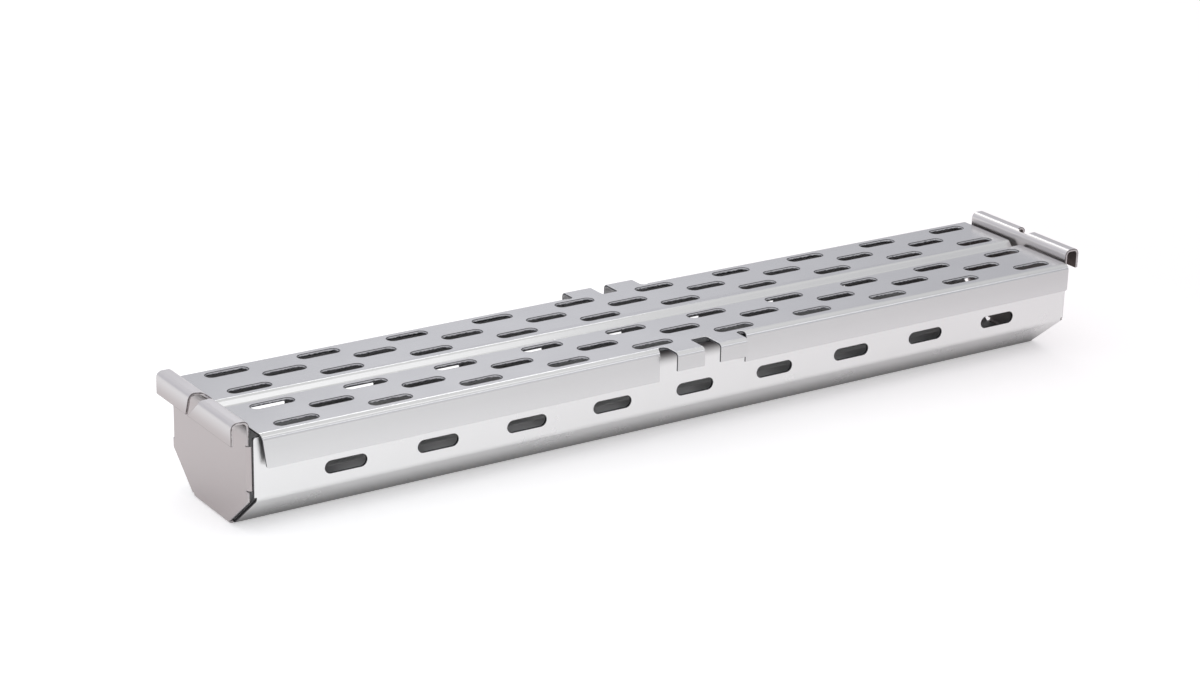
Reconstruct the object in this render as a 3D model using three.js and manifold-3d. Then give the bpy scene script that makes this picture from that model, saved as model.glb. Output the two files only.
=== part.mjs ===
// A slotted sheet-metal smoker box: a folded trough for wood chips, two end plates with rolled
// handles welded into it, and a slotted lid that lifts off by its tabs.
// Millimetres, X along the box, Y across it, Z up; the origin is under the middle of the floor.
import * as THREE from "three";
import { mergeVertices } from "three/addons/utils/BufferGeometryUtils.js";
import Module from "manifold-3d";

const wasm = await Module();
wasm.setup();

// Sheet and clearances
const sheet = 1; // thickness of every pressing
const weldGap = 0.3; // between an end plate's flanges and the trough that they are welded to
const seatGap = 0.3; // between the lid's underside and the wall tops that carry it
const overrun = 2; // how far a cutting body runs past the sheet
const bendSteps = 6; // facets in a quarter turn

// Trough
const boxLength = 378.4; // over the wall ends
const boxWidth = 63.6; // over the walls
const wallTop = 39.3;
const floorWidth = 25.2;
const chamferHeight = 15; // where the sloping side meets the wall
const troughBend = 2.5; // outside radius of the long bends
const floorSetback = 1; // the floor and sloping sides stop this much short of the wall ends
const wallCorner = 1.2;

// Slots, the same tool in every sheet
const slotLength = 17;
const slotWidth = 4.8;
const rowSlots = 10; // in a full row; the rows between have one less
const rowMargin = 17.75; // from the wall ends to the middle of a full row's last slot
const slotPitch = (boxLength - 2 * rowMargin) / (rowSlots - 1);
const wallSlotHeight = 21.9;

// End plates
const plateProud = 1.5; // the plate's outer face stands past the wall ends
const flangeBend = 1.85; // outside radius of the flange bends
const flangeDepth = 10;
const flangeHeight = 16.9;
const slopeInset = 0.45; // the plate's foot stays inside the line of the sloping sides
const footWidth = 24.6; // of the bend that joins the plate to the end of the floor

// Rolled handles
const rollRadius = 3.57; // outside
const rollHeight = 41.7; // the roll's axis
const plateWidth = boxWidth - 3.6; // of the roll and of the neck under it
const lipDrop = 5.1; // straight lip below the roll's axis
const neckHeight = 6.3; // from the side flanges' top to the roll's axis

// The cut that parts the two handles narrows from the crest down to the lip's edge. Its outline
// over the crest runs out from the roll's axis and across the box, as shares of the roll's
// radius, with the radius of its corners.
const crestCut = [
  [-0.67, -1.18, 0.2],
  [0.3, -1.18, 0.3],
  [0.83, -1.0, 0],
  [0.83, 0.95, 0],
  [0.2, 0.95, 0.3],
  [-0.3, 0.73, 0.2],
  [-0.67, 0.08, 0.2],
];
const lipCutNear = 4.8; // its two sides at the lip's edge, across the box
const lipCutFar = 5.9;

// Lid
const lidLength = boxLength - 3.4;
const lidWidth = boxWidth + 5.2; // over the skirts
const lidShift = 0.45; // the lid lies a little to one side of the middle
const patternShift = 1.3; // its slots and tabs are punched a little off its own middle
const skirtDrop = 13.35;
const lidBend = 3; // outside radius
const skirtCorner = 1;
const rowCount = 3; // on each side of the groove
const firstRow = 8.85; // from the middle line
const lastRow = 7.15; // in from the skirt's face
const rowPitch = (lidWidth / 2 - lastRow - firstRow) / (rowCount - 1);

// Stiffening groove pressed along the lid's middle
const grooveWidth = 6.8;
const grooveFloor = 3;
const grooveDepth = 2.2;
const grooveCrown = 1.8; // radius over its edges
const grooveRoot = 0.8; // radius in its floor's corners

// Lifting tabs at mid-length, two on each side
const tabSpan = lidWidth + 12.4; // over the tabs' lips
const tabLength = 12.55;
const tabGap = 7.5; // between the two tabs of a side
const tabDrop = 6.4;
const tabBend = 2;
const tabCorner = 1.2;
const skirtGap = 40.4; // the skirt stops on each side of the tabs
const gapDepth = 4.2; // how far the gap between the tabs runs in past the skirt's face
const reliefRun = 2; // how far the notches beside the tabs run in past the skirt's face

const plateInner = boxLength / 2 + plateProud - sheet;
const wallInner = boxWidth / 2 - sheet;
const flangeTop = rollHeight - neckHeight;
const flangeBottom = flangeTop - flangeHeight;
const lidTop = wallTop + seatGap + sheet;

const steel = { metalness: 1, roughness: 0.32 };
const finishes = {
  trough: { color: 0xc9c9cc, ...steel },
  endPlate: { color: 0xc4bfc0, ...steel },
  lid: { color: 0xc6c5cb, ...steel },
};

// The outline [u, v, radius] as points, with an arc at each corner that has a radius.
function rounded(corners) {
  const points = [];
  const add = (p) => {
    const last = points[points.length - 1];
    if (!last || last.distanceTo(p) > sheet / 1000) points.push(p);
  };
  corners.forEach(([u, v, radius = 0], i) => {
    const before = corners[(i + corners.length - 1) % corners.length];
    const after = corners[(i + 1) % corners.length];
    const tip = new THREE.Vector2(u, v);
    const into = new THREE.Vector2(u - before[0], v - before[1]).normalize();
    const out = new THREE.Vector2(after[0] - u, after[1] - v).normalize();
    const turn = Math.atan2(into.cross(out), into.dot(out));
    if (!radius || !turn) {
      add(tip);
      return;
    }
    const run = radius * Math.tan(Math.abs(turn) / 2);
    const start = tip.clone().addScaledVector(into, -run);
    const side = new THREE.Vector2(-into.y, into.x).multiplyScalar(Math.sign(turn));
    const centre = start.clone().addScaledVector(side, radius);
    const steps = Math.max(2, Math.ceil((bendSteps * Math.abs(turn)) / (Math.PI / 2)));
    for (let k = 0; k <= steps; k += 1) {
      add(start.clone().rotateAround(centre, (turn * k) / steps));
    }
  });
  if (points[0].distanceTo(points[points.length - 1]) <= sheet / 1000) points.pop();
  return points;
}

// The cross-section of a folded sheet. The path [u, v, radius] runs along one face with the
// metal on its left, and each radius is that face's own.
function folded(path) {
  const other = path.map(([u, v, radius = 0], i) => {
    const into = i > 0 ? direction(path[i - 1], path[i]) : direction(path[i], path[i + 1]);
    const out = i < path.length - 1 ? direction(path[i], path[i + 1]) : into;
    const turn = Math.sign(into.cross(out));
    const mitre = new THREE.Vector2(-into.y - out.y, into.x + out.x);
    mitre.multiplyScalar(sheet / (1 + into.dot(out)));
    return [u + mitre.x, v + mitre.y, radius ? radius - turn * sheet : 0];
  });
  return rounded([...path, ...other.reverse()]);
}

function direction(from, to) {
  return new THREE.Vector2(to[0] - from[0], to[1] - from[1]).normalize();
}

function box(u0, v0, u1, v1) {
  return rounded([[u0, v0], [u1, v0], [u1, v1], [u0, v1]]);
}

function obround(u, v, length, width) {
  const r = width / 2;
  const half = length / 2;
  return rounded([
    [u - half, v - r, r],
    [u + half, v - r, r],
    [u + half, v + r, r],
    [u - half, v + r, r],
  ]);
}

function mirrored(outline) {
  return outline.map((p) => new THREE.Vector2(p.x, -p.y)).reverse();
}

function solidOf(geometry) {
  geometry.deleteAttribute("normal");
  geometry.deleteAttribute("uv");
  const merged = mergeVertices(geometry);
  return new wasm.Manifold(
    new wasm.Mesh({
      numProp: 3,
      vertProperties: merged.attributes.position.array,
      triVerts: new Uint32Array(merged.index.array),
    }),
  );
}

function extruded(outline, from, to, basis, shift) {
  const geometry = new THREE.ExtrudeGeometry(new THREE.Shape(outline), {
    depth: to - from,
    bevelEnabled: false,
  });
  geometry.applyMatrix4(basis);
  geometry.translate(...shift);
  return solidOf(geometry);
}

const X = new THREE.Vector3(1, 0, 0);
const Y = new THREE.Vector3(0, 1, 0);
const Z = new THREE.Vector3(0, 0, 1);

// An outline in Y and Z, X and Z or X and Y becomes a solid along the third axis.
function alongX(outline, from, to) {
  return extruded(outline, from, to, new THREE.Matrix4().makeBasis(Y, Z, X), [from, 0, 0]);
}

function alongY(outline, from, to) {
  const back = Y.clone().negate();
  return extruded(outline, from, to, new THREE.Matrix4().makeBasis(X, Z, back), [0, to, 0]);
}

function alongZ(outline, from, to) {
  return extruded(outline, from, to, new THREE.Matrix4(), [0, 0, from]);
}

function meshOf(name, solid, finish) {
  const made = solid.getMesh();
  const geometry = new THREE.BufferGeometry();
  geometry.setAttribute("position", new THREE.BufferAttribute(made.vertProperties, 3));
  geometry.setIndex(new THREE.BufferAttribute(made.triVerts, 1));
  const faceted = geometry.toNonIndexed();
  faceted.computeVertexNormals();
  const mesh = new THREE.Mesh(faceted, new THREE.MeshStandardMaterial(finish));
  mesh.name = name;
  return mesh;
}

// Where slots lie along the box when a row holds so many of them, centred on the middle.
function slotPlaces(count) {
  return Array.from({ length: count }, (_, i) => (i - (count - 1) / 2) * slotPitch);
}

function trough() {
  const side = boxWidth / 2;
  const foot = floorWidth / 2;
  const section = folded([
    [-side, wallTop],
    [-side, chamferHeight, troughBend],
    [-foot, 0, troughBend],
    [foot, 0, troughBend],
    [side, chamferHeight, troughBend],
    [side, wallTop],
  ]);
  const end = boxLength / 2;
  const floorEnd = end - floorSetback;
  const step = chamferHeight + troughBend / 2; // the walls run on from the top of their bend
  const outline = rounded([
    [-floorEnd, -overrun],
    [floorEnd, -overrun],
    [floorEnd, step],
    [end, step],
    [end, wallTop, wallCorner],
    [-end, wallTop, wallCorner],
    [-end, step],
    [-floorEnd, step],
  ]);
  let solid = alongX(section, -end, end);
  solid = solid.intersect(alongY(outline, -side - overrun, side + overrun));
  for (const x of slotPlaces(rowSlots - 1)) {
    const slot = obround(x, wallSlotHeight, slotLength, slotWidth);
    solid = solid.subtract(alongY(slot, -side - overrun, side + overrun));
  }
  return solid;
}

// The end plate's flat panel, which narrows to the bend at its foot between the sloping sides.
function platePanel() {
  const half = plateWidth / 2;
  const side = wallInner - weldGap - flangeBend;
  const foot = footWidth / 2;
  const slope = chamferHeight / (boxWidth / 2 - floorWidth / 2);
  const rise = Math.hypot(1, slope) * slopeInset;
  const onSlope = (y) => (y - floorWidth / 2) * slope + rise;
  const outAt = (z) => (z - rise) / slope + floorWidth / 2;
  const edge = [
    [foot, flangeBend],
    [outAt(flangeBend), flangeBend],
    [half, onSlope(half)],
    [half, flangeBottom],
    [side, flangeBottom],
    [side, flangeTop],
    [half, flangeTop],
    [half, rollHeight],
  ];
  const otherEdge = edge.map(([y, z]) => [-y, z]).reverse();
  return alongX(rounded([...edge, ...otherEdge]), 0, sheet);
}

// Both side flanges and the panel between them, as one folded strip.
function plateFlanges() {
  const face = wallInner - weldGap;
  const section = folded([
    [-flangeDepth, -face],
    [sheet, -face, flangeBend],
    [sheet, face, flangeBend],
    [-flangeDepth, face],
  ]);
  return alongZ(section, flangeBottom, flangeTop);
}

// The bend at the plate's foot runs flush into the end of the floor, where it is welded.
function plateFoot() {
  const floorEnd = boxLength / 2 - floorSetback;
  const section = folded([
    [floorEnd + weldGap - plateInner, 0],
    [sheet, 0, flangeBend],
    [sheet, flangeBottom],
  ]);
  return alongY(section, -footWidth / 2, footWidth / 2);
}

// The sheet rolls outwards over the top and ends in a lip that hangs straight down.
function plateRoll() {
  const far = 2 * rollRadius;
  const crest = rollHeight + rollRadius;
  const section = folded([
    [far, rollHeight - lipDrop],
    [far, crest, rollRadius],
    [0, crest, rollRadius],
    [0, flangeTop],
  ]);
  return alongY(section, -plateWidth / 2, plateWidth / 2);
}

// The cut that parts the two handles: across the crest, then down through the lip.
function rollCut() {
  const lipEdge = rollHeight - lipDrop;
  const low = lipEdge - overrun;
  const overCrest = crestCut.map(([out, across, radius]) => [
    rollRadius * (1 + out),
    rollRadius * across,
    rollRadius * radius,
  ]);
  const [, , near, far] = crestCut;
  const shoulder = rollHeight + rollRadius * Math.sqrt(1 - near[0] ** 2);
  const throughLip = [
    [lipCutNear, low],
    [lipCutFar, low],
    [lipCutFar, lipEdge],
    [rollRadius * far[1], shoulder + sheet / 2],
    [rollRadius * near[1], shoulder + sheet / 2],
    [lipCutNear, lipEdge],
  ];
  return alongZ(rounded(overCrest), rollHeight, rollHeight + rollRadius + overrun).add(
    alongX(rounded(throughLip), (3 / 2) * rollRadius, 2 * rollRadius + overrun),
  );
}

function endPlate() {
  return platePanel()
    .add(plateFlanges())
    .add(plateFoot())
    .add(plateRoll())
    .subtract(rollCut());
}

// The lid's cross-section from one turned-down edge to the other, grooved in the middle.
function lidSection(reach, drop, bend) {
  const edge = grooveWidth / 2;
  const floor = grooveFloor / 2;
  const low = lidTop - grooveDepth;
  return folded([
    [reach, lidTop - drop],
    [reach, lidTop, bend],
    [edge, lidTop, grooveCrown],
    [floor, low, grooveRoot],
    [-floor, low, grooveRoot],
    [-edge, lidTop, grooveCrown],
    [-reach, lidTop, bend],
    [-reach, lidTop - drop],
  ]);
}

function skirtedSheet() {
  const left = -lidLength / 2 - patternShift;
  const right = lidLength / 2 - patternShift;
  const out = lidWidth / 2 + overrun;
  const outline = rounded([
    [left, lidTop - skirtDrop, skirtCorner],
    [right, lidTop - skirtDrop, skirtCorner],
    [right, lidTop + overrun],
    [left, lidTop + overrun],
  ]);
  const inner = lidWidth / 2 - lidBend;
  const gap = box(-skirtGap / 2, inner, skirtGap / 2, out);
  const low = lidTop - skirtDrop - overrun;
  const high = lidTop + overrun;
  return alongX(lidSection(lidWidth / 2, skirtDrop, lidBend), left, right)
    .intersect(alongY(outline, -out, out))
    .subtract(alongZ(gap, low, high))
    .subtract(alongZ(mirrored(gap), low, high));
}

// The strip across the lid that carries the tabs, with the notches between and beside them.
function tabbedStrip() {
  const reach = tabSpan / 2;
  const face = lidWidth / 2;
  const out = reach + overrun;
  const inner = tabGap / 2;
  const outer = inner + tabLength;
  const end = skirtGap / 2;
  const beside = (end - outer) / 2;
  const low = lidTop - tabDrop - overrun;
  const high = lidTop + overrun;
  const between = rounded([
    [-inner, face - gapDepth, tabCorner],
    [inner, face - gapDepth, tabCorner],
    [inner, out],
    [-inner, out],
  ]);
  const right = rounded([
    [outer, face - reliefRun, beside],
    [end, face - reliefRun, beside],
    [end, out],
    [outer, out],
  ]);
  const left = right.map((p) => new THREE.Vector2(-p.x, p.y)).reverse();
  let strip = alongX(lidSection(reach, tabDrop, tabBend), -end, end);
  for (const notch of [between, right, left]) {
    strip = strip.subtract(alongZ(notch, low, high));
    strip = strip.subtract(alongZ(mirrored(notch), low, high));
  }
  return strip;
}

function lid() {
  let solid = skirtedSheet().add(tabbedStrip());
  for (let row = 0; row < rowCount; row += 1) {
    const y = firstRow + row * rowPitch;
    for (const x of slotPlaces(rowSlots - (row % 2))) {
      for (const side of [-1, 1]) {
        const slot = obround(x, side * y, slotLength, slotWidth);
        solid = solid.subtract(alongZ(slot, lidTop - sheet - overrun, lidTop + overrun));
      }
    }
  }
  return solid;
}

const group = new THREE.Group();
group.name = "smoker_box";

group.add(meshOf("trough", trough(), finishes.trough));

const rightPlate = meshOf("end_plate_right", endPlate(), finishes.endPlate);
rightPlate.position.x = plateInner;
group.add(rightPlate);

const leftPlate = meshOf("end_plate_left", endPlate(), finishes.endPlate);
leftPlate.scale.x = -1; // the two ends are a mirrored pair
leftPlate.position.x = -plateInner;
group.add(leftPlate);

const cover = meshOf("lid", lid(), finishes.lid);
cover.position.x = lidShift + patternShift; // it is drawn from the middle of its pattern
group.add(cover);

export default group;
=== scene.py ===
"""Looks of the grill smoker box: every pressing is drawn as a flat blank, punched, given rounded
cut edges and then folded as the real sheet is. The sheets are in millimetres, and what comes
after them is in metres."""

import math

import bpy
import numpy as np
from mathutils import Matrix, Vector
from mathutils.geometry import delaunay_2d_cdt

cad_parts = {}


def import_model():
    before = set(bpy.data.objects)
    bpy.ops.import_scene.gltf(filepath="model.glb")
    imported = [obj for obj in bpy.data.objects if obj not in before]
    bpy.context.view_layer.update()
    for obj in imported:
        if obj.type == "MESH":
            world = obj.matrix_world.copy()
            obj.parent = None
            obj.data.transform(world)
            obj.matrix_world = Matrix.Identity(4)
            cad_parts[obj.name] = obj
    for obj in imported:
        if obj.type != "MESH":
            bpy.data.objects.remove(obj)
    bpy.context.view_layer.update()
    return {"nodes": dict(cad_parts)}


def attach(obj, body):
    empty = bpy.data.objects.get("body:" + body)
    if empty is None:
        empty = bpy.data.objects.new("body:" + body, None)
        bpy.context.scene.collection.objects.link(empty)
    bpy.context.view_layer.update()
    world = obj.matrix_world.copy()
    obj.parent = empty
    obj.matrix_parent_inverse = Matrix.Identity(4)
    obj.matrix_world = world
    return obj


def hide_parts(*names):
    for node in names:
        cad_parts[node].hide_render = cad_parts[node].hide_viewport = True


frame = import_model()

MM = 0.001
QUARTER = math.pi / 2
X, Y, Z = Vector((1, 0, 0)), Vector((0, 1, 0)), Vector((0, 0, 1))

# Sizes shared with the CAD part. Where the photo asks for a little more or less than the CAD
# has, the CAD's size is noted.
SHEET = 1.0
WELD_GAP = 0.3  # between an end plate and the trough
SEAT_GAP = 0.3  # between the wall tops and the lid

BOX_LENGTH = 378.4
BOX_WIDTH = 63.6
WALL_TOP = 39.3
WALL_CORNER = 1.2
FLOOR_WIDTH = 28.0  # CAD: 25.2
FLOOR_SETBACK = 1.0
CHAMFER_HEIGHT = 15.0
TROUGH_BEND = 2.5

SLOT_LENGTH = 17.0
SLOT_WIDTH = 4.8
SLOT_PITCH = 38.1
WALL_SLOT_HEIGHT = 21.9
WALL_SLOTS = 9

PLATE_WIDTH = 60.0
PLATE_CORNER = 0.5
PLATE_INNER = BOX_LENGTH / 2 + 1.5 - SHEET
PLATE_FACE = BOX_WIDTH / 2 - SHEET - WELD_GAP  # outer face of the plate's side flanges
FOOT_WIDTH = 27.4  # CAD: 24.6
SLOPE_INSET = 0.8  # CAD: 0.45
FLANGE_BEND = 1.85
FLANGE_DEPTH = 10.0
FLANGE_BOTTOM = 18.5
FLANGE_TOP = 35.4
FLANGE_CORNER = 1.0
FLANGE_SLIT = 0.3  # the relief cut over and under each flange; not in the CAD

ROLL_RADIUS = 3.57
ROLL_HEIGHT = 41.7
ROLL_BEND = 2.5  # the roll's crest is a little flatter than the CAD's half circle
ROLL_ROOT = 1.0  # the roll's section starts this much under its axis
ROLL_CORNER = 0.4
LIP_DROP = 5.1
# The cut that parts the two handles: out from the roll's axis, across, and corner radius, all
# as shares of the roll's radius
CREST_CUT = [
    (-0.67, -1.18, 0.2),
    (0.3, -1.18, 0.3),
    (0.83, -1.0, 0.0),
    (0.83, 0.95, 0.0),
    (0.2, 0.95, 0.3),
    (-0.3, 0.73, 0.2),
    (-0.67, 0.08, 0.2),
]
LIP_CUT_NEAR = 4.8
LIP_CUT_FAR = 5.9

LID_LENGTH = 375.0
LID_WIDTH = 68.8
LID_TOP = WALL_TOP + SEAT_GAP + SHEET
LID_SHIFT = 0.45
PATTERN_SHIFT = 1.3
LID_BEND = 2.6  # CAD: 3
LID_BOW = 0.45  # the lid arches a little between its ends; flat in the CAD
LID_SLOTS = 10
FIRST_ROW = 8.85
ROW_PITCH = 9.2
ROWS = 3
SKIRT_DROP = 13.35
SKIRT_CORNER = 1.0
SKIRT_GAP = 40.4
SKIRT_LIFT = (0.4, 0.5, 1.0, 2.0)  # shallower by: left end, beside the tabs, right end; CAD: 0
SKIRT_LEAN = 2.0  # of the skirts' left end; CAD: 0
GROOVE_WIDTH = 6.8
GROOVE_FLOOR = 3.0
GROOVE_DEPTH = 2.2
GROOVE_CROWN = 1.8
GROOVE_ROOT = 0.8
TAB_SPAN = 81.2
TAB_LENGTH = 12.55
TAB_GAP = 7.5
TAB_DROP = 7.4  # CAD: 6.4
TAB_BEND = 2.0
TAB_CORNER = 1.2
GAP_DEPTH = 4.2

# Drawing of the sheets
EDGE = 0.16  # radius that punching and shearing leave on a cut edge
EDGE_STEPS = 2
SLOT_RIM = 0.42  # how far the rims of the lid's slots are drawn in; the band is dark, painted shade
RIM_LEAN = 0.45  # how far the shading of the lid's cut edges leans upwards
SHARP = math.radians(40)
OVERRUN = 9.0  # how far a fold line runs past the blank
BEND_START = 0.001  # the first fold line keeps clear of the blank's corners
BEND_STEPS = 8  # of the end plates' flanges
ROLL_STEPS = 12
LIP_STEPS = 8
TRACE_STEPS = 400


# ---------------------------------------------------------------- flat outlines
def rounded(corners, steps=8):
    """The closed outline [u, v, radius] as points, with an arc at each corner that has a radius."""
    points = []

    def add(u, v):
        if not points or math.dist(points[-1], (u, v)) > 1e-4:
            points.append((u, v))

    for i, corner in enumerate(corners):
        u, v, radius = (*corner, 0)[:3]
        before, after = corners[i - 1], corners[(i + 1) % len(corners)]
        into = Vector((u - before[0], v - before[1])).normalized()
        out = Vector((after[0] - u, after[1] - v)).normalized()
        turn = math.atan2(into.x * out.y - into.y * out.x, into.dot(out))
        if not radius or abs(turn) < 1e-6:
            add(u, v)
            continue
        start = Vector((u, v)) - into * radius * math.tan(abs(turn) / 2)
        side = Vector((-into.y, into.x)) * math.copysign(1, turn)
        centre = start + side * radius
        count = max(2, math.ceil(steps * abs(turn) / QUARTER))
        for k in range(count + 1):
            a = turn * k / count
            d = start - centre
            add(
                centre.x + d.x * math.cos(a) - d.y * math.sin(a),
                centre.y + d.x * math.sin(a) + d.y * math.cos(a),
            )
    if math.dist(points[0], points[-1]) <= 1e-4:
        points.pop()
    return points


def obround(u, v, length=SLOT_LENGTH, width=SLOT_WIDTH):
    r, half = width / 2, length / 2
    return rounded(
        [
            (u - half, v - r, r),
            (u + half, v - r, r),
            (u + half, v + r, r),
            (u - half, v + r, r),
        ],
    )


def slot_places(count):
    return [(i - (count - 1) / 2) * SLOT_PITCH for i in range(count)]


def area(loop):
    p = np.array(loop)
    q = np.roll(p, -1, axis=0)
    return 0.5 * float(np.sum(p[:, 0] * q[:, 1] - p[:, 1] * q[:, 0]))


# ---------------------------------------------------------------- folding
class Fold:
    """A folded section. The path [u, v, radius] is one face of the sheet with the metal on its
    left; at() gives the point and the left-hand normal at a developed length along it."""

    def __init__(self, path, steps=10):
        self.runs = []
        self.lines = []
        s = 0.0
        here = Vector(path[0][:2])
        for i in range(1, len(path)):
            tip = Vector(path[i][:2])
            into = (tip - Vector(path[i - 1][:2])).normalized()
            radius = path[i][2] if len(path[i]) > 2 else 0
            turn = 0.0
            if i < len(path) - 1:
                out = (Vector(path[i + 1][:2]) - tip).normalized()
                turn = math.atan2(into.x * out.y - into.y * out.x, into.dot(out))
            cut = radius * math.tan(abs(turn) / 2)
            end = tip - into * cut
            run = (end - here).length
            if run > 1e-6:
                self.runs.append(("line", s, run, here.copy(), into.copy()))
            s += run
            here = end
            if turn:
                side = Vector((-into.y, into.x)) * math.copysign(1, turn)
                centre = end + side * radius
                arc = abs(turn) * radius
                self.runs.append(("arc", s, arc, centre, end - centre, turn, into.copy()))
                count = max(2, math.ceil(steps * abs(turn) / QUARTER))
                self.lines += [s + arc * k / count for k in range(count + 1)]
                s += arc
                here = centre + self._turned(end - centre, turn)
        self.length = s

    @staticmethod
    def _turned(v, a):
        c, s = math.cos(a), math.sin(a)
        return Vector((v.x * c - v.y * s, v.x * s + v.y * c))

    def at(self, s):
        for run in self.runs:
            if s <= run[1] + run[2] or run is self.runs[-1]:
                break
        if run[0] == "line":
            point, along = run[3] + run[4] * (s - run[1]), run[4]
        else:
            a = run[5] * (s - run[1]) / run[2]
            point, along = run[3] + self._turned(run[4], a), self._turned(run[6], a)
        return point, Vector((-along.y, along.x))

    def along(self, u, v):
        """Developed length of a point on one of the straight runs."""
        for run in self.runs:
            if run[0] == "line":
                d = Vector((u, v)) - run[3]
                s = d.dot(run[4])
                if (d - run[4] * s).length < 1e-4 and -1e-4 < s < run[2] + 1e-4:
                    return run[1] + s
        raise ValueError((u, v))


# ---------------------------------------------------------------- sheets
def added(name, data):
    obj = bpy.data.objects.new(name, data)
    bpy.context.scene.collection.objects.link(obj)
    return obj


def offset(loop, distance):
    """Each point of a loop moved towards the metal, which lies on the loop's left."""
    moved = []
    for i, p in enumerate(loop):
        a, b = loop[i - 1], loop[(i + 1) % len(loop)]
        into = Vector((p[0] - a[0], p[1] - a[1])).normalized()
        out = Vector((b[0] - p[0], b[1] - p[1])).normalized()
        n, m = Vector((-into.y, into.x)), Vector((-out.y, out.x))
        k = (n + m) / (1 + n.dot(m))
        moved.append((p[0] + k.x * distance, p[1] + k.y * distance))
    return moved


def crossings(loop, line):
    """Where a loop crosses the segment line: (edge, share of the edge, share of the line)."""
    (ax, ay), (bx, by) = line
    found = []
    for i, p in enumerate(loop):
        q = loop[(i + 1) % len(loop)]
        ex, ey = q[0] - p[0], q[1] - p[1]
        dx, dy = bx - ax, by - ay
        den = ex * dy - ey * dx
        if abs(den) < 1e-12:
            continue
        f = ((ax - p[0]) * dy - (ay - p[1]) * dx) / den
        g = ((ax - p[0]) * ey - (ay - p[1]) * ex) / den
        if -1e-9 <= f < 1 - 1e-9 and 0 <= g <= 1:
            found.append((i, max(f, 0.0), g))
    return found


def inside(points, loops):
    """Even-odd test of many points against all loops."""
    hit = np.zeros(len(points), dtype=int)
    x, y = points[:, 0], points[:, 1]
    for loop in loops:
        a = np.array(loop)
        b = np.roll(a, -1, axis=0)
        for (ax, ay), (bx, by) in zip(a, b):
            if ay == by:
                continue
            between = (y >= min(ay, by)) & (y < max(ay, by))
            at = ax + (y - ay) * (bx - ax) / (by - ay)
            hit += between & (at > x)
    return hit % 2 == 1


FACE, BACK, CUT, RIM = range(4)


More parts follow.
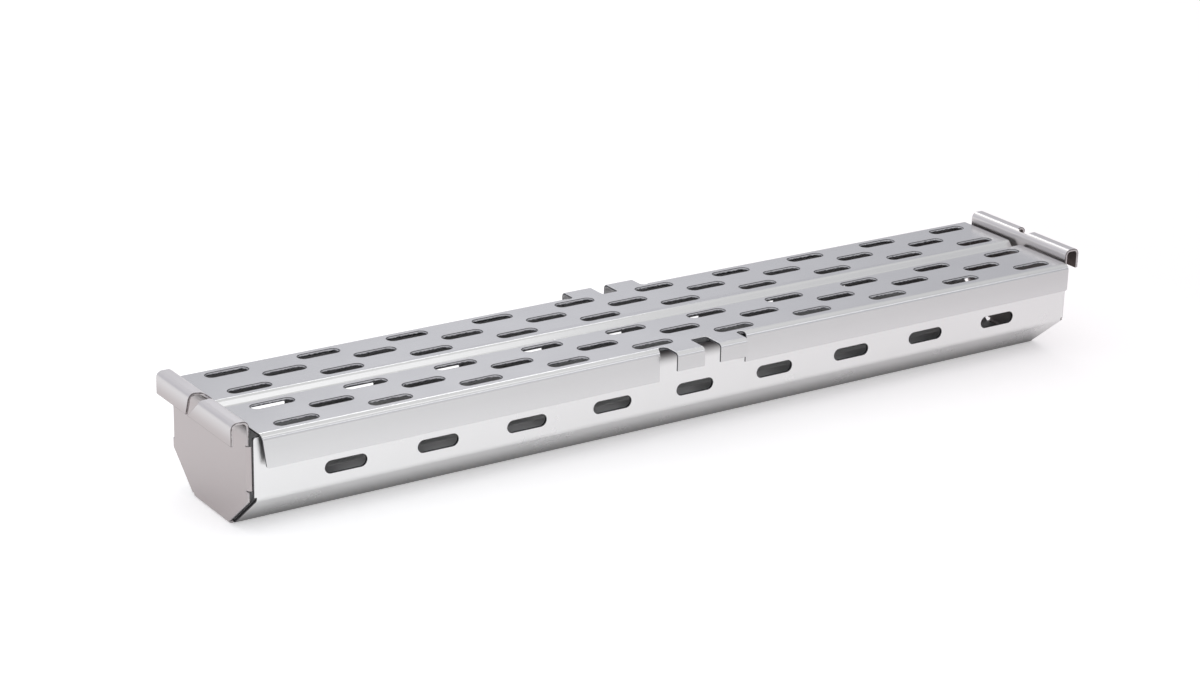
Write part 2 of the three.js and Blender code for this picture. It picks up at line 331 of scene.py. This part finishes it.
def sheet_mesh(
    name, outline, holes, lines, place, flip=False, finish=None, taper=0.0, hole_edge=None
):
    """A closed sheet. The blank lies in p and q; place(p, q, t) gives the point at depth t and
    the unit vectors along p, along q and out of the face where t is 0. finish(kind, p, q) picks
    the material of a face of one of the kinds, and taper leans the shading of the cut edges
    upwards. Where hole_edge says how far the holes' rims are drawn in, the rims take a material
    of their own, and so does the outline's cut; the lid gives these a dark one, painted shade."""
    loops = [outline if area(outline) > 0 else outline[::-1]]
    loops += [h if area(h) < 0 else h[::-1] for h in holes]
    reach = [1.0] + [(hole_edge or EDGE) / EDGE] * len(holes)
    inner = [offset(loop, EDGE * far) for loop, far in zip(loops, reach)]
    splits = [[] for _ in loops]
    joins = []
    for number, line in enumerate(lines):
        met = []
        for k, ring in enumerate(inner):
            for i, f, g in crossings(ring, line):
                splits[k].append((i, f, number))
                met.append((g, k, i, f))
        joins.append(sorted(met))
    rings, index, places = [], 0, []
    key = {}
    for k, loop in enumerate(loops):
        corners = [(i, 0.0) for i in range(len(loop))]
        marks = sorted(set(corners + [(i, f) for i, f, _ in splits[k]]))
        kept = []
        for i, f in marks:
            p, q = inner[k][i], inner[k][(i + 1) % len(loop)]
            size = math.dist(p, q)
            if kept and kept[-1][0] == i and (f - kept[-1][1]) * size < 1e-3:
                key[(k, i, f)] = index - 1
                continue
            if f and (1 - f) * size < 1e-3:
                key[(k, i, f)] = None  # joins the next corner
                continue
            kept.append((i, f))
            key[(k, i, f)] = index
            places.append((p[0] + (q[0] - p[0]) * f, p[1] + (q[1] - p[1]) * f))
            index += 1
        first = index - len(kept)
        for mark in [m for m in key if m[0] == k and key[m] is None]:
            i = (mark[1] + 1) % len(loop)
            key[mark] = key[(k, i, 0.0)]
        rings.append((first, kept))
    edges = []
    for first, kept in rings:
        n = len(kept)
        edges += [(first + i, first + (i + 1) % n) for i in range(n)]
    border = set(map(tuple, map(sorted, edges)))
    for met in joins:
        row = []
        for g, k, i, f in met:
            v = key[(k, i, f)]
            if v not in row:
                row.append(v)
        for a, b in zip(row, row[1:]):
            middle = np.array([[(places[a][c] + places[b][c]) / 2 for c in (0, 1)]])
            if tuple(sorted((a, b))) not in border and inside(middle, inner)[0]:
                edges.append((a, b))
    verts, _, faces, *_ = delaunay_2d_cdt([Vector(p) for p in places], edges, [], 0, 1e-5)
    if len(verts) != len(places):
        print(name, "blank gained points", len(verts) - len(places))
    flat = [(v.x, v.y) for v in verts]
    middles = np.array([[sum(flat[i][c] for i in f) / 3 for c in (0, 1)] for f in faces])
    kept_faces = [f for f, ok in zip(faces, inside(middles, inner)) if ok]

    points, polys, normals, blank, depth, kinds = [], [], [], [], [], []
    top, low = {}, {}

    def vertex(p, q, t):
        points.append(place(p, q, t)[0])
        blank.append((p, q))
        depth.append(t)
        return len(points) - 1

    for i, (p, q) in enumerate(flat):
        top[i] = vertex(p, q, 0.0)
        low[i] = vertex(p, q, SHEET)

    def world(p, q, n):
        _, e_p, e_q, e_n = place(p, q, 0.0)
        return e_p * n[0] + e_q * n[1] + e_n * n[2]

    for f in kept_faces:
        a, b, c = (flat[i] for i in f)
        turn = (b[0] - a[0]) * (c[1] - a[1]) - (b[1] - a[1]) * (c[0] - a[0])
        if abs(turn) < 1e-9:
            continue
        f = list(f) if turn > 0 else list(f)[::-1]
        polys.append([top[i] for i in f])
        normals.append([world(*flat[i], (0, 0, 1)) for i in f])
        polys.append([low[i] for i in f[::-1]])
        normals.append([world(*flat[i], (0, 0, -1)) for i in f[::-1]])
        kinds += [FACE, BACK]

    profile = []
    for k in range(1, EDGE_STEPS + 1):
        a = QUARTER * k / EDGE_STEPS
        across, up = math.sin(a), math.cos(a)
        profile.append((EDGE * (1 - across), EDGE * (1 - up), across, up))
    profile += [(d, SHEET - t, h, -v) for d, t, h, v in profile[::-1]]
    for k, (first, kept) in enumerate(rings):
        loop = loops[k]
        n = len(kept)
        count = len(loop)
        outward = []
        for i in range(count):
            a, b = loop[i], loop[(i + 1) % count]
            e = Vector((b[0] - a[0], b[1] - a[1])).normalized()
            outward.append(Vector((e.y, -e.x)))
        rows = [[top[first + i] for i in range(n)]]
        for d, t, _, _ in profile:
            ring = offset(loop, d * reach[k])
            row = []
            for i, f in kept:
                p, q = ring[i], ring[(i + 1) % count]
                row.append(vertex(p[0] + (q[0] - p[0]) * f, p[1] + (q[1] - p[1]) * f, t))
            rows.append(row)
        rows.append([low[first + i] for i in range(n)])
        tilt = [(0, 1)] + [(h, v + taper) for _, _, h, v in profile] + [(0, -1)]
        for j in range(n):
            i, f = kept[j]
            after = kept[(j + 1) % n]
            own = outward[i]
            ends = []
            for corner, is_corner in ((i, f == 0.0), (after[0], after[1] == 0.0)):
                side = own
                if is_corner:
                    other = outward[corner - 1] if corner == i and f == 0.0 else outward[corner]
                    if own.angle(other, 0) < SHARP:
                        side = (own + other).normalized()
                ends.append(side)
            for row in range(len(rows) - 1):
                a, b = rows[row][j], rows[row][(j + 1) % n]
                c, d = rows[row + 1][(j + 1) % n], rows[row + 1][j]
                polys.append([a, d, c, b])
                if not hole_edge:
                    kinds.append(CUT)
                elif k:
                    kinds.append(RIM if row < EDGE_STEPS else CUT)
                else:
                    kinds.append(RIM if row == EDGE_STEPS else FACE if row < EDGE_STEPS else BACK)
                made = []
                for v, side, level in ((a, 0, row), (d, 0, row + 1), (c, 1, row + 1), (b, 1, row)):
                    h, up = tilt[level]
                    made.append(world(*blank[v], (ends[side].x * h, ends[side].y * h, up)))
                normals.append(made)

    if flip:  # a mirrored piece
        polys = [p[::-1] for p in polys]
        normals = [n[::-1] for n in normals]
    mesh = bpy.data.meshes.new(name)
    mesh.from_pydata([tuple(c * MM for c in p) for p in points], [], polys)
    mesh.polygons.foreach_set("use_smooth", [True] * len(mesh.polygons))
    mesh.normals_split_custom_set([tuple(n.normalized()) for face in normals for n in face])
    finish = finish or (lambda kind, p, q: kind)
    chosen = [finish(k, *np.mean([blank[v] for v in f], axis=0)) for k, f in zip(kinds, polys)]
    mesh.polygons.foreach_set("material_index", chosen)
    layer = mesh.attributes.new("depth", "FLOAT", "POINT")
    layer.data.foreach_set("value", depth)
    mesh.update()
    return added(name, mesh)


# ---------------------------------------------------------------- trough
def make_trough():
    side, foot = BOX_WIDTH / 2, FLOOR_WIDTH / 2
    fold = Fold(
        [
            (-side, WALL_TOP),
            (-side, CHAMFER_HEIGHT, TROUGH_BEND),
            (-foot, 0, TROUGH_BEND),
            (foot, 0, TROUGH_BEND),
            (side, CHAMFER_HEIGHT, TROUGH_BEND),
            (side, WALL_TOP),
        ]
    )
    end = BOX_LENGTH / 2
    short = end - FLOOR_SETBACK
    step = WALL_TOP - CHAMFER_HEIGHT - TROUGH_BEND / 2
    far = fold.length
    outline = rounded(
        [
            (-end, 0, WALL_CORNER),
            (end, 0, WALL_CORNER),
            (end, step),
            (short, step),
            (short, far - step),
            (end, far - step),
            (end, far, WALL_CORNER),
            (-end, far, WALL_CORNER),
            (-end, far - step),
            (-short, far - step),
            (-short, step),
            (-end, step),
        ]
    )
    drop = WALL_TOP - WALL_SLOT_HEIGHT
    holes = [obround(x, s) for x in slot_places(WALL_SLOTS) for s in (drop, far - drop)]
    lines = [((-end - OVERRUN, s), (end + OVERRUN, s)) for s in fold.lines]

    def place(p, q, t):
        (y, z), (ny, nz) = fold.at(q)
        point = Vector((p, y + ny * t, z + nz * t))
        return point, X, Vector((0, nz, -ny)), Vector((0, -ny, -nz))

    return sheet_mesh("trough_pressing", outline, holes, lines, place, flip=True)


# ---------------------------------------------------------------- lid
def lid_fold(reach, drop, bend):
    edge, floor, low = GROOVE_WIDTH / 2, GROOVE_FLOOR / 2, LID_TOP - GROOVE_DEPTH
    return Fold(
        [
            (reach, LID_TOP - drop),
            (reach, LID_TOP, bend),
            (edge, LID_TOP, GROOVE_CROWN),
            (floor, low, GROOVE_ROOT),
            (-floor, low, GROOVE_ROOT),
            (-edge, LID_TOP, GROOVE_CROWN),
            (-reach, LID_TOP, bend),
            (-reach, LID_TOP - drop),
        ]
    )


def make_lid():
    skirt = lid_fold(LID_WIDTH / 2, SKIRT_DROP, LID_BEND)
    tabs = lid_fold(TAB_SPAN / 2, TAB_DROP, TAB_BEND)
    middle = skirt.length / 2
    shift = middle - tabs.length / 2  # the two sections share the blank's middle line
    left, right = -LID_LENGTH / 2 - PATTERN_SHIFT, LID_LENGTH / 2 - PATTERN_SHIFT
    inner, outer = TAB_GAP / 2, TAB_GAP / 2 + TAB_LENGTH
    end = SKIRT_GAP / 2
    beside = (end - outer) / 2
    split = outer + beside
    root = middle - skirt.along(LID_WIDTH / 2 - LID_BEND, LID_TOP)  # out to the bends' start
    gap = root + LID_BEND - GAP_DEPTH
    reach = tabs.length / 2
    depths = [middle - lift for lift in SKIRT_LIFT]
    side = [
        (right, 0),
        (right, depths[3], SKIRT_CORNER),
        (end, depths[2]),
        (end, root, beside),
        (outer, root, beside),
        (outer, reach),
        (inner, reach),
        (inner, gap, TAB_CORNER),
        (-inner, gap, TAB_CORNER),
        (-inner, reach),
        (-outer, reach),
        (-outer, root, beside),
        (-end, root, beside),
        (-end, depths[1]),
        (left + SKIRT_LEAN, depths[0], SKIRT_CORNER),
        (left, root),
        (left, 0),
    ]
    outline = rounded(side + [(c[0], -c[1], *c[2:]) for c in side[::-1] if c[1]])
    rows = [middle - skirt.along(FIRST_ROW + r * ROW_PITCH, LID_TOP) for r in range(ROWS)]
    holes = [
        obround(x, s * row)
        for r, row in enumerate(rows)
        for x in slot_places(LID_SLOTS - r % 2)
        for s in (-1, 1)
    ]
    lines = []
    for q in [middle - s for s in skirt.lines]:
        if abs(q) < GROOVE_WIDTH:  # the groove's bends run through
            lines.append(((left - OVERRUN, q), (right + OVERRUN, q)))
        else:
            lines += [((left - OVERRUN, q), (-split, q)), ((split, q), (right + OVERRUN, q))]
    for q in [middle - s - shift for s in tabs.lines]:
        if abs(q) > GROOVE_WIDTH:
            lines.append(((-split, q), (split, q)))
    x0 = LID_SHIFT + PATTERN_SHIFT

    def place(p, q, t):
        strip = abs(p) < split
        (y, z), (ny, nz) = tabs.at(middle - shift - q) if strip else skirt.at(middle - q)
        bow = LID_BOW * (1 - (2 * p / LID_LENGTH) ** 2)
        point = Vector((p + x0, y + ny * t, z + nz * t + max(0, bow)))
        return point, X, Vector((0, -nz, ny)), Vector((0, -ny, -nz))

    def finish(kind, p, q):
        """The skirts' inner side takes the outer side's material; the rest of the lid's inner side
        keeps the darker one, painted shade.
        """
        return FACE if kind == BACK and abs(p) > split and abs(q) > root else kind

    return sheet_mesh(
        "lid_pressing",
        outline,
        holes,
        lines,
        place,
        finish=finish,
        taper=RIM_LEAN,
        hole_edge=SLOT_RIM,
    )


# ---------------------------------------------------------------- end plates
def make_plate(name, hand):
    half, foot = PLATE_WIDTH / 2, FOOT_WIDTH / 2
    side = PLATE_FACE - FLANGE_BEND
    wide = side + FLANGE_BEND * QUARTER + FLANGE_DEPTH + SHEET - FLANGE_BEND
    slope = CHAMFER_HEIGHT / (BOX_WIDTH / 2 - FLOOR_WIDTH / 2)
    raised = math.hypot(1, slope) * SLOPE_INSET
    out_at = (FLANGE_BEND - raised) / slope + FLOOR_WIDTH / 2
    on_slope = (half - FLOOR_WIDTH / 2) * slope + raised
    tip = PLATE_INNER - (BOX_LENGTH / 2 - FLOOR_SETBACK + WELD_GAP) + SHEET - FLANGE_BEND
    bottom = FLANGE_BEND - FLANGE_BEND * QUARTER - tip

    lip_edge = ROLL_HEIGHT - LIP_DROP
    shoulder = ROLL_HEIGHT + ROLL_RADIUS * math.sqrt(1 - CREST_CUT[2][0] ** 2)
    crest_z = ROLL_HEIGHT + ROLL_RADIUS
    base = ROLL_HEIGHT - ROLL_ROOT
    roll = Fold(
        [
            (2 * ROLL_RADIUS, lip_edge),
            (2 * ROLL_RADIUS, crest_z, ROLL_BEND),
            (0, crest_z, ROLL_BEND),
            (0, base),
        ],
        steps=ROLL_STEPS,
    )
    top = base + roll.length
    runs = [roll.length * k / TRACE_STEPS for k in range(TRACE_STEPS + 1)]
    trace = [(roll.at(run)[0], top - run) for run in runs]

    def nearest(miss):
        return min(trace, key=lambda e: miss(*e[0]))[1]

    def over(share):
        """Where the blank crosses the crest at this share of the radius out from the axis."""
        out = ROLL_RADIUS * (1 + share)
        return nearest(lambda x, z: abs(x - out) + max(0, ROLL_HEIGHT + 1 - z))

    def down(height):
        """Where the lip's side of the roll is at this height."""
        return nearest(lambda x, z: abs(z - height) + max(0, ROLL_RADIUS - x))

    def lip_side(at_edge, at_shoulder):
        """One side of the cut through the lip, straight as it is seen from the end of the box."""
        return [
            (
                at_edge + (at_shoulder - at_edge) * k / LIP_STEPS,
                down(lip_edge + (shoulder - lip_edge) * k / LIP_STEPS),
            )
            for k in range(LIP_STEPS + 1)
        ]

    crest = [(y * ROLL_RADIUS, over(out), r * ROLL_RADIUS) for out, y, r in CREST_CUT]
    opening = [
        *lip_side(LIP_CUT_FAR, crest[3][0]),
        *crest[4:],
        *crest[:2],
        *lip_side(LIP_CUT_NEAR, crest[2][0])[::-1],
    ]
    right = [
        (foot, bottom),
        (foot, FLANGE_BEND),
        (out_at, FLANGE_BEND),
        (half, on_slope, PLATE_CORNER),
        (half, FLANGE_BOTTOM - FLANGE_SLIT),
        (side, FLANGE_BOTTOM - FLANGE_SLIT),
        (side, FLANGE_BOTTOM),
        (wide, FLANGE_BOTTOM, FLANGE_CORNER),
        (wide, FLANGE_TOP, FLANGE_CORNER),
        (side, FLANGE_TOP),
        (side, FLANGE_TOP + FLANGE_SLIT),
        (half, FLANGE_TOP + FLANGE_SLIT),
        (half, top, ROLL_CORNER),
    ]
    outline = rounded(right + opening + [(-c[0], c[1], *c[2:]) for c in right[::-1]])

    low, high = FLANGE_BOTTOM - FLANGE_SLIT / 2, FLANGE_TOP + FLANGE_SLIT / 2
    lines = [((-half - OVERRUN, top - s), (half + OVERRUN, top - s)) for s in roll.lines]
    for k in range(BEND_STEPS + 1):
        run = max(FLANGE_BEND * (QUARTER * k / BEND_STEPS), BEND_START)
        q = FLANGE_BEND - run
        lines.append(((-foot - OVERRUN, q), (foot + OVERRUN, q)))
        lines += [((s * (side + run), low), (s * (side + run), high)) for s in (-1, 1)]

    def bent(start, run, radius, t):
        """Round an outer radius away from the outer face: how far on, how far in, the turn."""
        a = min(run / radius, QUARTER)
        past = max(0.0, run - radius * QUARTER)
        ring = radius - t
        return start + ring * math.sin(a), radius - ring * math.cos(a) + past, a

    def place(p, q, t):
        if q > base:
            (x, z), (nx, nz) = roll.at(top - q)
            back = SHEET - t
            point, out = Vector((x + nx * back, p, z + nz * back)), Vector((nx, 0, nz))
            e_p, e_q = Y, Vector((-nz, 0, nx))
        elif q < FLANGE_BEND:
            z, depth, a = bent(0, FLANGE_BEND - q, FLANGE_BEND, t)
            point = Vector((SHEET - depth, p, FLANGE_BEND - z))
            out = Vector((math.cos(a), 0, -math.sin(a)))
            e_p, e_q = Y, Vector((math.sin(a), 0, math.cos(a)))
        elif abs(p) > side and low <= q <= high:
            s = math.copysign(1, p)
            y, depth, a = bent(side, abs(p) - side, FLANGE_BEND, t)
            point = Vector((SHEET - depth, s * y, q))
            out = Vector((math.cos(a), s * math.sin(a), 0))
            e_p, e_q = Vector((-s * math.sin(a), math.cos(a), 0)), Z
        else:
            point, out, e_p, e_q = Vector((SHEET - t, p, q)), X, Y, Z
        point = point + Vector((PLATE_INNER, 0, 0))
        return [Vector((v.x * hand, v.y, v.z)) for v in (point, e_p, e_q, out)]

    def finish(kind, p, q):
        """Painted shade: the inside of the roll, which is its underside, takes the dark material;
        all other faces take the plate's own steel.
        """
        if kind == BACK or (kind == FACE and q > base):
            return BACK if kind == FACE else FACE
        return kind

    return sheet_mesh(name, outline, [], lines, place, flip=hand < 0, finish=finish)


# ---------------------------------------------------------------- materials
CLOUD_SCALE = 45.0
CLOUD_TINT = 0.02
GRAIN_SCALE = (120, 5000, 5000)  # of the noise along and across the sheet
GRAIN_HEIGHT = 0.00005
PAINTED_SHADE_REACH = (0.027, 0.019)  # where the painted shade behind the tabs ends and where it is full, from the box's middle
PAINTED_SHADE_HEIGHT = (0.0325, 0.0395)  # where it starts and where it is full
TORN_SCALE = 900.0
TORN_SWAY = 1.2
TORN_FROM = (1.15, 1.35)  # depths between which the swaying cut turns from bright to torn


def node(tree, kind, **values):
    made = tree.nodes.new(kind)
    for key, value in values.items():
        if hasattr(made, key):
            setattr(made, key, value)
        else:
            made.inputs[key.replace("_", " ")].default_value = value
    return made


def clouds(tree, where, scale, detail=4.0):
    made = node(tree, "ShaderNodeTexNoise", Scale=scale, Detail=detail, Roughness=0.55)
    tree.links.new(where, made.inputs["Vector"])
    return made.outputs["Fac"]


def between(tree, value, low, high, start=0.0, end=1.0, kind="LINEAR"):
    """From low to high while the value goes from start to end."""
    made = node(tree, "ShaderNodeMapRange", interpolation_type=kind)
    made.inputs["From Min"].default_value = start
    made.inputs["From Max"].default_value = end
    made.inputs["To Min"].default_value = low
    made.inputs["To Max"].default_value = high
    tree.links.new(value, made.inputs["Value"])
    return made.outputs["Result"]


def rise(tree, value, span):
    """0 before the span, 1 after it, and smooth between its ends."""
    return between(tree, value, 0.0, 1.0, *span, kind="SMOOTHSTEP")


def blend(tree, share, first, second):
    """A mix of two colours, each of them a fixed one or the output of a node."""
    made = node(tree, "ShaderNodeMix", data_type="RGBA")
    tree.links.new(share, made.inputs[0])
    for socket, colour in ((made.inputs[6], first), (made.inputs[7], second)):
        if isinstance(colour, tuple):
            socket.default_value = (*colour, 1)
        else:
            tree.links.new(colour, socket)
    return made.outputs[2]


def ramp(tree, value, stops):
    """The colour at a value, from the stops (value, colour)."""
    made = node(tree, "ShaderNodeValToRGB")
    tree.links.new(value, made.inputs[0])
    elements = made.color_ramp.elements
    for element, (at, colour) in zip((elements[0], elements[1]), (stops[0], stops[-1])):
        element.position, element.color = at, (*colour, 1)
    for at, colour in stops[1:-1]:
        elements.new(at).color = (*colour, 1)
    return made.outputs["Color"]


def new_metal(name):
    """A metal's material, its tree, its shader and the place on the object."""
    material = bpy.data.materials.new(name)
    material.use_nodes = True
    tree = material.node_tree
    shader = tree.nodes["Principled BSDF"]
    shader.inputs["Metallic"].default_value = 1.0
    return material, tree, shader, node(tree, "ShaderNodeTexCoord").outputs["Object"]


def bumped(tree, shader, height, strength, distance):
    bump = node(tree, "ShaderNodeBump", Strength=strength, Distance=distance)
    tree.links.new(height, bump.inputs["Height"])
    tree.links.new(bump.outputs["Normal"], shader.inputs["Normal"])


def steel(name, colour, roughness, low=None, span=None, painted_tab_shade=None):
    """Rolled stainless sheet: a fine grain along the sheet, faint clouding, and soft gloss.
    Below the heights of span the colour goes to low: painted light where low is lighter, painted
    shade where it is darker. The other colour given is painted shade high up in the middle,
    behind the lid's tabs."""
    material, tree, shader, where = new_metal(name)
    link = tree.links.new
    cloud = clouds(tree, where, CLOUD_SCALE)
    darker, lighter = (tuple(c * (1 + by) for c in colour) for by in (-CLOUD_TINT, CLOUD_TINT))
    tone = blend(tree, cloud, darker, lighter)
    split = node(tree, "ShaderNodeSeparateXYZ")
    link(where, split.inputs[0])
    # painted light and shade by height: below span the colour goes to low (painted shade on the
    # walls and end plates, painted light on the lid's skirts)
    if low:
        tone = blend(tree, rise(tree, split.outputs["Z"], span), low, tone)
    # painted shade: darker high up in the middle of the walls, behind the lid's tabs
    if painted_tab_shade:
        along = node(tree, "ShaderNodeMath", operation="ABSOLUTE")
        link(split.outputs["X"], along.inputs[0])
        both = node(tree, "ShaderNodeMath", operation="MULTIPLY")
        link(rise(tree, along.outputs[0], PAINTED_SHADE_REACH), both.inputs[0])
        link(rise(tree, split.outputs["Z"], PAINTED_SHADE_HEIGHT), both.inputs[1])
        tone = blend(tree, both.outputs[0], tone, painted_tab_shade)
    link(tone, shader.inputs["Base Color"])
    link(between(tree, cloud, roughness - 0.03, roughness + 0.03), shader.inputs["Roughness"])
    stretch = node(tree, "ShaderNodeMapping")
    stretch.inputs["Scale"].default_value = GRAIN_SCALE
    link(where, stretch.inputs["Vector"])
    grain = clouds(tree, stretch.outputs["Vector"], 1.0, 2.0)
    bumped(tree, shader, grain, 0.02, GRAIN_HEIGHT)
    return material


def sheared(name, bright, dark, roughness):
    """A cut edge: a burnished band where the tool entered, then torn metal, with a ragged line
    between them."""
    material, tree, shader, where = new_metal(name)
    shader.inputs["Roughness"].default_value = roughness
    ragged = clouds(tree, where, TORN_SCALE, 3.0)
    depth = node(tree, "ShaderNodeAttribute", attribute_name="depth").outputs["Fac"]
    sway = node(tree, "ShaderNodeMath", operation="MULTIPLY_ADD")
    sway.inputs[1].default_value = TORN_SWAY
    tree.links.new(ragged, sway.inputs[0])
    tree.links.new(depth, sway.inputs[2])
    torn = between(tree, sway.outputs[0], 0.0, 1.0, *TORN_FROM)
    tree.links.new(blend(tree, torn, bright, dark), shader.inputs["Base Color"])
    bumped(tree, shader, ragged, 0.3, 0.0001)
    return material


def dress(obj, materials, body, node_name):
    for material in materials:
        obj.data.materials.append(material)
    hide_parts(node_name)
    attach(obj, body)
    for place in frame["nodes"][node_name].material_slots:
        place.material = materials[0]


# painted light: the skirts are lighter than the lid's top, most towards their lower edge
lid_steel = steel(
    "lid_steel", (0.7, 0.7, 0.7), 0.22, low=(0.77, 0.77, 0.77), span=(0.026, 0.0385)
)
# painted shade: the walls darken towards the foot of the sloping sides, and high up in the middle
# behind the lid's tabs
wall_steel = steel(
    "trough_steel",
    (0.9, 0.9, 0.895),
    0.28,
    low=(0.2, 0.195, 0.19),
    span=(-0.003, 0.0135),
    painted_tab_shade=(0.12, 0.11, 0.11),
)
# painted light: the end plates are lighter up on the roll than below it
plate_steel = steel(
    "plate_steel", (0.72, 0.7, 0.7), 0.3, low=(0.54, 0.495, 0.492), span=(0.037, 0.044)
)
# painted shade: a darker copy of the steel for the sheets' inner sides
painted_shade_inside_steel = steel("painted_shade_inside_steel", (0.45, 0.45, 0.455), 0.4)
# painted shade: the dark underside of the end plates' rolls
painted_shade_roll_underside = steel("painted_shade_roll_underside_steel", (0.16, 0.14, 0.135), 0.45)
slot_edge = sheared("slot_edge_steel", (0.6, 0.6, 0.61), (0.1, 0.1, 0.11), 0.5)
# painted shade: a dark band round the lid's slots and along its outline's cut
painted_shade_slot_rim = steel("painted_shade_slot_rim_steel", (0.1, 0.1, 0.105), 0.35)
# painted shade: the trough's cut edges, the wall tops under the lid among them, are dark
painted_shade_wall_edge = sheared("painted_shade_wall_edge_steel", (0.12, 0.12, 0.125), (0.05, 0.05, 0.05), 0.4)
plate_edge = sheared("plate_edge_steel", (0.6, 0.57, 0.57), (0.2, 0.18, 0.18), 0.4)

dress(make_trough(), [wall_steel, painted_shade_inside_steel, painted_shade_wall_edge], "base", "trough")
for side, hand in (("right", 1), ("left", -1)):
    plate = make_plate(f"end_plate_{side}_pressing", hand)
    dress(plate, [plate_steel, painted_shade_roll_underside, plate_edge], "base", f"end_plate_{side}")
dress(make_lid(), [lid_steel, painted_shade_inside_steel, slot_edge, painted_shade_slot_rim], "lid", "lid")


# ---------------------------------------------------------------- floor, light and camera
FLOOR_REACH = 6.0
# The floor's colour darkens towards the right end: painted shade, a falloff of light that the metal
# mirrors
FLOOR_LEFT, FLOOR_RIGHT = (0.93, 0.93, 0.93), (0.72, 0.685, 0.695)
FLOOR_FADE = (-0.15, 0.3)  # along the box, from the left tone to the right one
FLOOR_LIFT = 0.15  # glow for mirrored rays and the camera alike
FLOOR_CAMERA_LIFT = 0.235  # added for the camera

# White near the floor and overhead, a little greyer and cooler in between
SKY_BY_HEIGHT = (
    (0.04, (1, 1, 1)),
    (0.2, (0.67, 0.67, 0.72)),
    (0.5, (0.72, 0.72, 0.765)),
    (0.74, (0.95, 0.95, 0.96)),
    (1.0, (1, 1, 1)),
)
# Dimmer in a band on each side of the one that the middle of the lid mirrors
SKY_ALONG_BOX = ((0.3, 1.0), (0.37, 0.86), (0.42, 0.88), (0.47, 1.0), (0.5, 1.0), (0.68, 0.79))

LAMPS = (  # name, place, size and watts
    ("key", (0.32, -0.57, 0.95), (0.55, 0.2), 0.2),
    ("edge", (0.56, -0.93, 0.59), (0.85, 0.17), 0.42),
    ("rim", (0.42, 0.8, 0.74), (0.45, 0.22), 0.6),
)
LAMP_TARGET = (0, 0, 0.03)

PHOTO_WIDTH = 1200
CAMERA_FOCUS = 2886.05  # focal length in the photo's pixels
CAMERA_PLACE = (-0.609449, -0.870427, 0.420358)
CAMERA_ANGLES = (-33.97, 20.34, 1.41)  # azimuth, elevation and roll
SENSOR = 36.0


def seen_directly(tree, path):
    """1 for rays from the camera, and for those mirrored or let through by the object."""
    first = node(tree, "ShaderNodeMath", operation="MAXIMUM")
    both = node(tree, "ShaderNodeMath", operation="MAXIMUM")
    tree.links.new(path.outputs["Is Camera Ray"], first.inputs[0])
    tree.links.new(path.outputs["Is Glossy Ray"], first.inputs[1])
    tree.links.new(first.outputs[0], both.inputs[0])
    tree.links.new(path.outputs["Is Transmission Ray"], both.inputs[1])
    return both.outputs[0]


def make_floor():
    mesh = bpy.data.meshes.new("floor")
    r = FLOOR_REACH
    mesh.from_pydata([(-r, -r, 0), (r, -r, 0), (r, r, 0), (-r, r, 0)], [], [(0, 1, 2, 3)])
    obj = added("floor", mesh)
    material = bpy.data.materials.new("floor_white")
    material.use_nodes = True
    tree = material.node_tree
    link = tree.links.new
    shader = tree.nodes["Principled BSDF"]
    place = node(tree, "ShaderNodeSeparateXYZ")
    link(node(tree, "ShaderNodeTexCoord").outputs["Object"], place.inputs[0])
    across = between(tree, place.outputs["X"], 0.0, 1.0, *FLOOR_FADE)
    link(blend(tree, across, FLOOR_LEFT, FLOOR_RIGHT), shader.inputs["Base Color"])
    shader.inputs["Roughness"].default_value = 1.0
    shader.inputs["Specular IOR Level"].default_value = 0.0
    shader.inputs["Emission Color"].default_value = (1, 1, 1, 1)
    path = node(tree, "ShaderNodeLightPath")
    lift = node(tree, "ShaderNodeMath", operation="MULTIPLY")
    lift.inputs[1].default_value = FLOOR_LIFT
    link(seen_directly(tree, path), lift.inputs[0])
    more = node(tree, "ShaderNodeMath", operation="MULTIPLY_ADD")
    more.inputs[1].default_value = FLOOR_CAMERA_LIFT
    link(path.outputs["Is Camera Ray"], more.inputs[0])
    link(lift.outputs[0], more.inputs[2])
    link(more.outputs[0], shader.inputs["Emission Strength"])
    mesh.materials.append(material)


def make_world():
    world = bpy.data.worlds.new("studio")
    bpy.context.scene.world = world
    world.use_nodes = True
    tree = world.node_tree
    back = tree.nodes["Background"]
    split = node(tree, "ShaderNodeSeparateXYZ")
    tree.links.new(node(tree, "ShaderNodeTexCoord").outputs["Generated"], split.inputs[0])
    tree.links.new(ramp(tree, split.outputs["Z"], SKY_BY_HEIGHT), back.inputs["Color"])
    along = [(at, (strength,) * 3) for at, strength in SKY_ALONG_BOX]
    tree.links.new(ramp(tree, split.outputs["X"], along), back.inputs["Strength"])


def make_lamp(name, place, size, watts):
    data = bpy.data.lights.new(name, "AREA")
    data.shape = "RECTANGLE"
    data.size, data.size_y = size
    data.energy = watts
    obj = added(name, data)
    obj.location = place
    obj.rotation_mode = "QUATERNION"
    obj.rotation_quaternion = (Vector(LAMP_TARGET) - Vector(place)).to_track_quat("-Z", "Y")


def make_camera():
    az, el, roll = (math.radians(a) for a in CAMERA_ANGLES)
    forward = -Vector((math.sin(az) * math.cos(el), -math.cos(az) * math.cos(el), math.sin(el)))
    right = forward.cross(Z).normalized()
    turned = math.cos(roll) * right + math.sin(roll) * right.cross(forward)
    data = bpy.data.cameras.new("camera")
    data.sensor_width = SENSOR
    data.lens = SENSOR * CAMERA_FOCUS / PHOTO_WIDTH
    data.clip_start, data.clip_end = 0.05, 50
    obj = added("camera", data)
    obj.location = CAMERA_PLACE
    obj.rotation_mode = "QUATERNION"
    basis = Matrix((turned, turned.cross(forward), -forward)).transposed()
    obj.rotation_quaternion = basis.to_quaternion()
    bpy.context.scene.camera = obj


make_floor()
make_world()
for lamp in LAMPS:
    make_lamp(*lamp)
make_camera()
bpy.context.scene.view_settings.view_transform = "Standard"
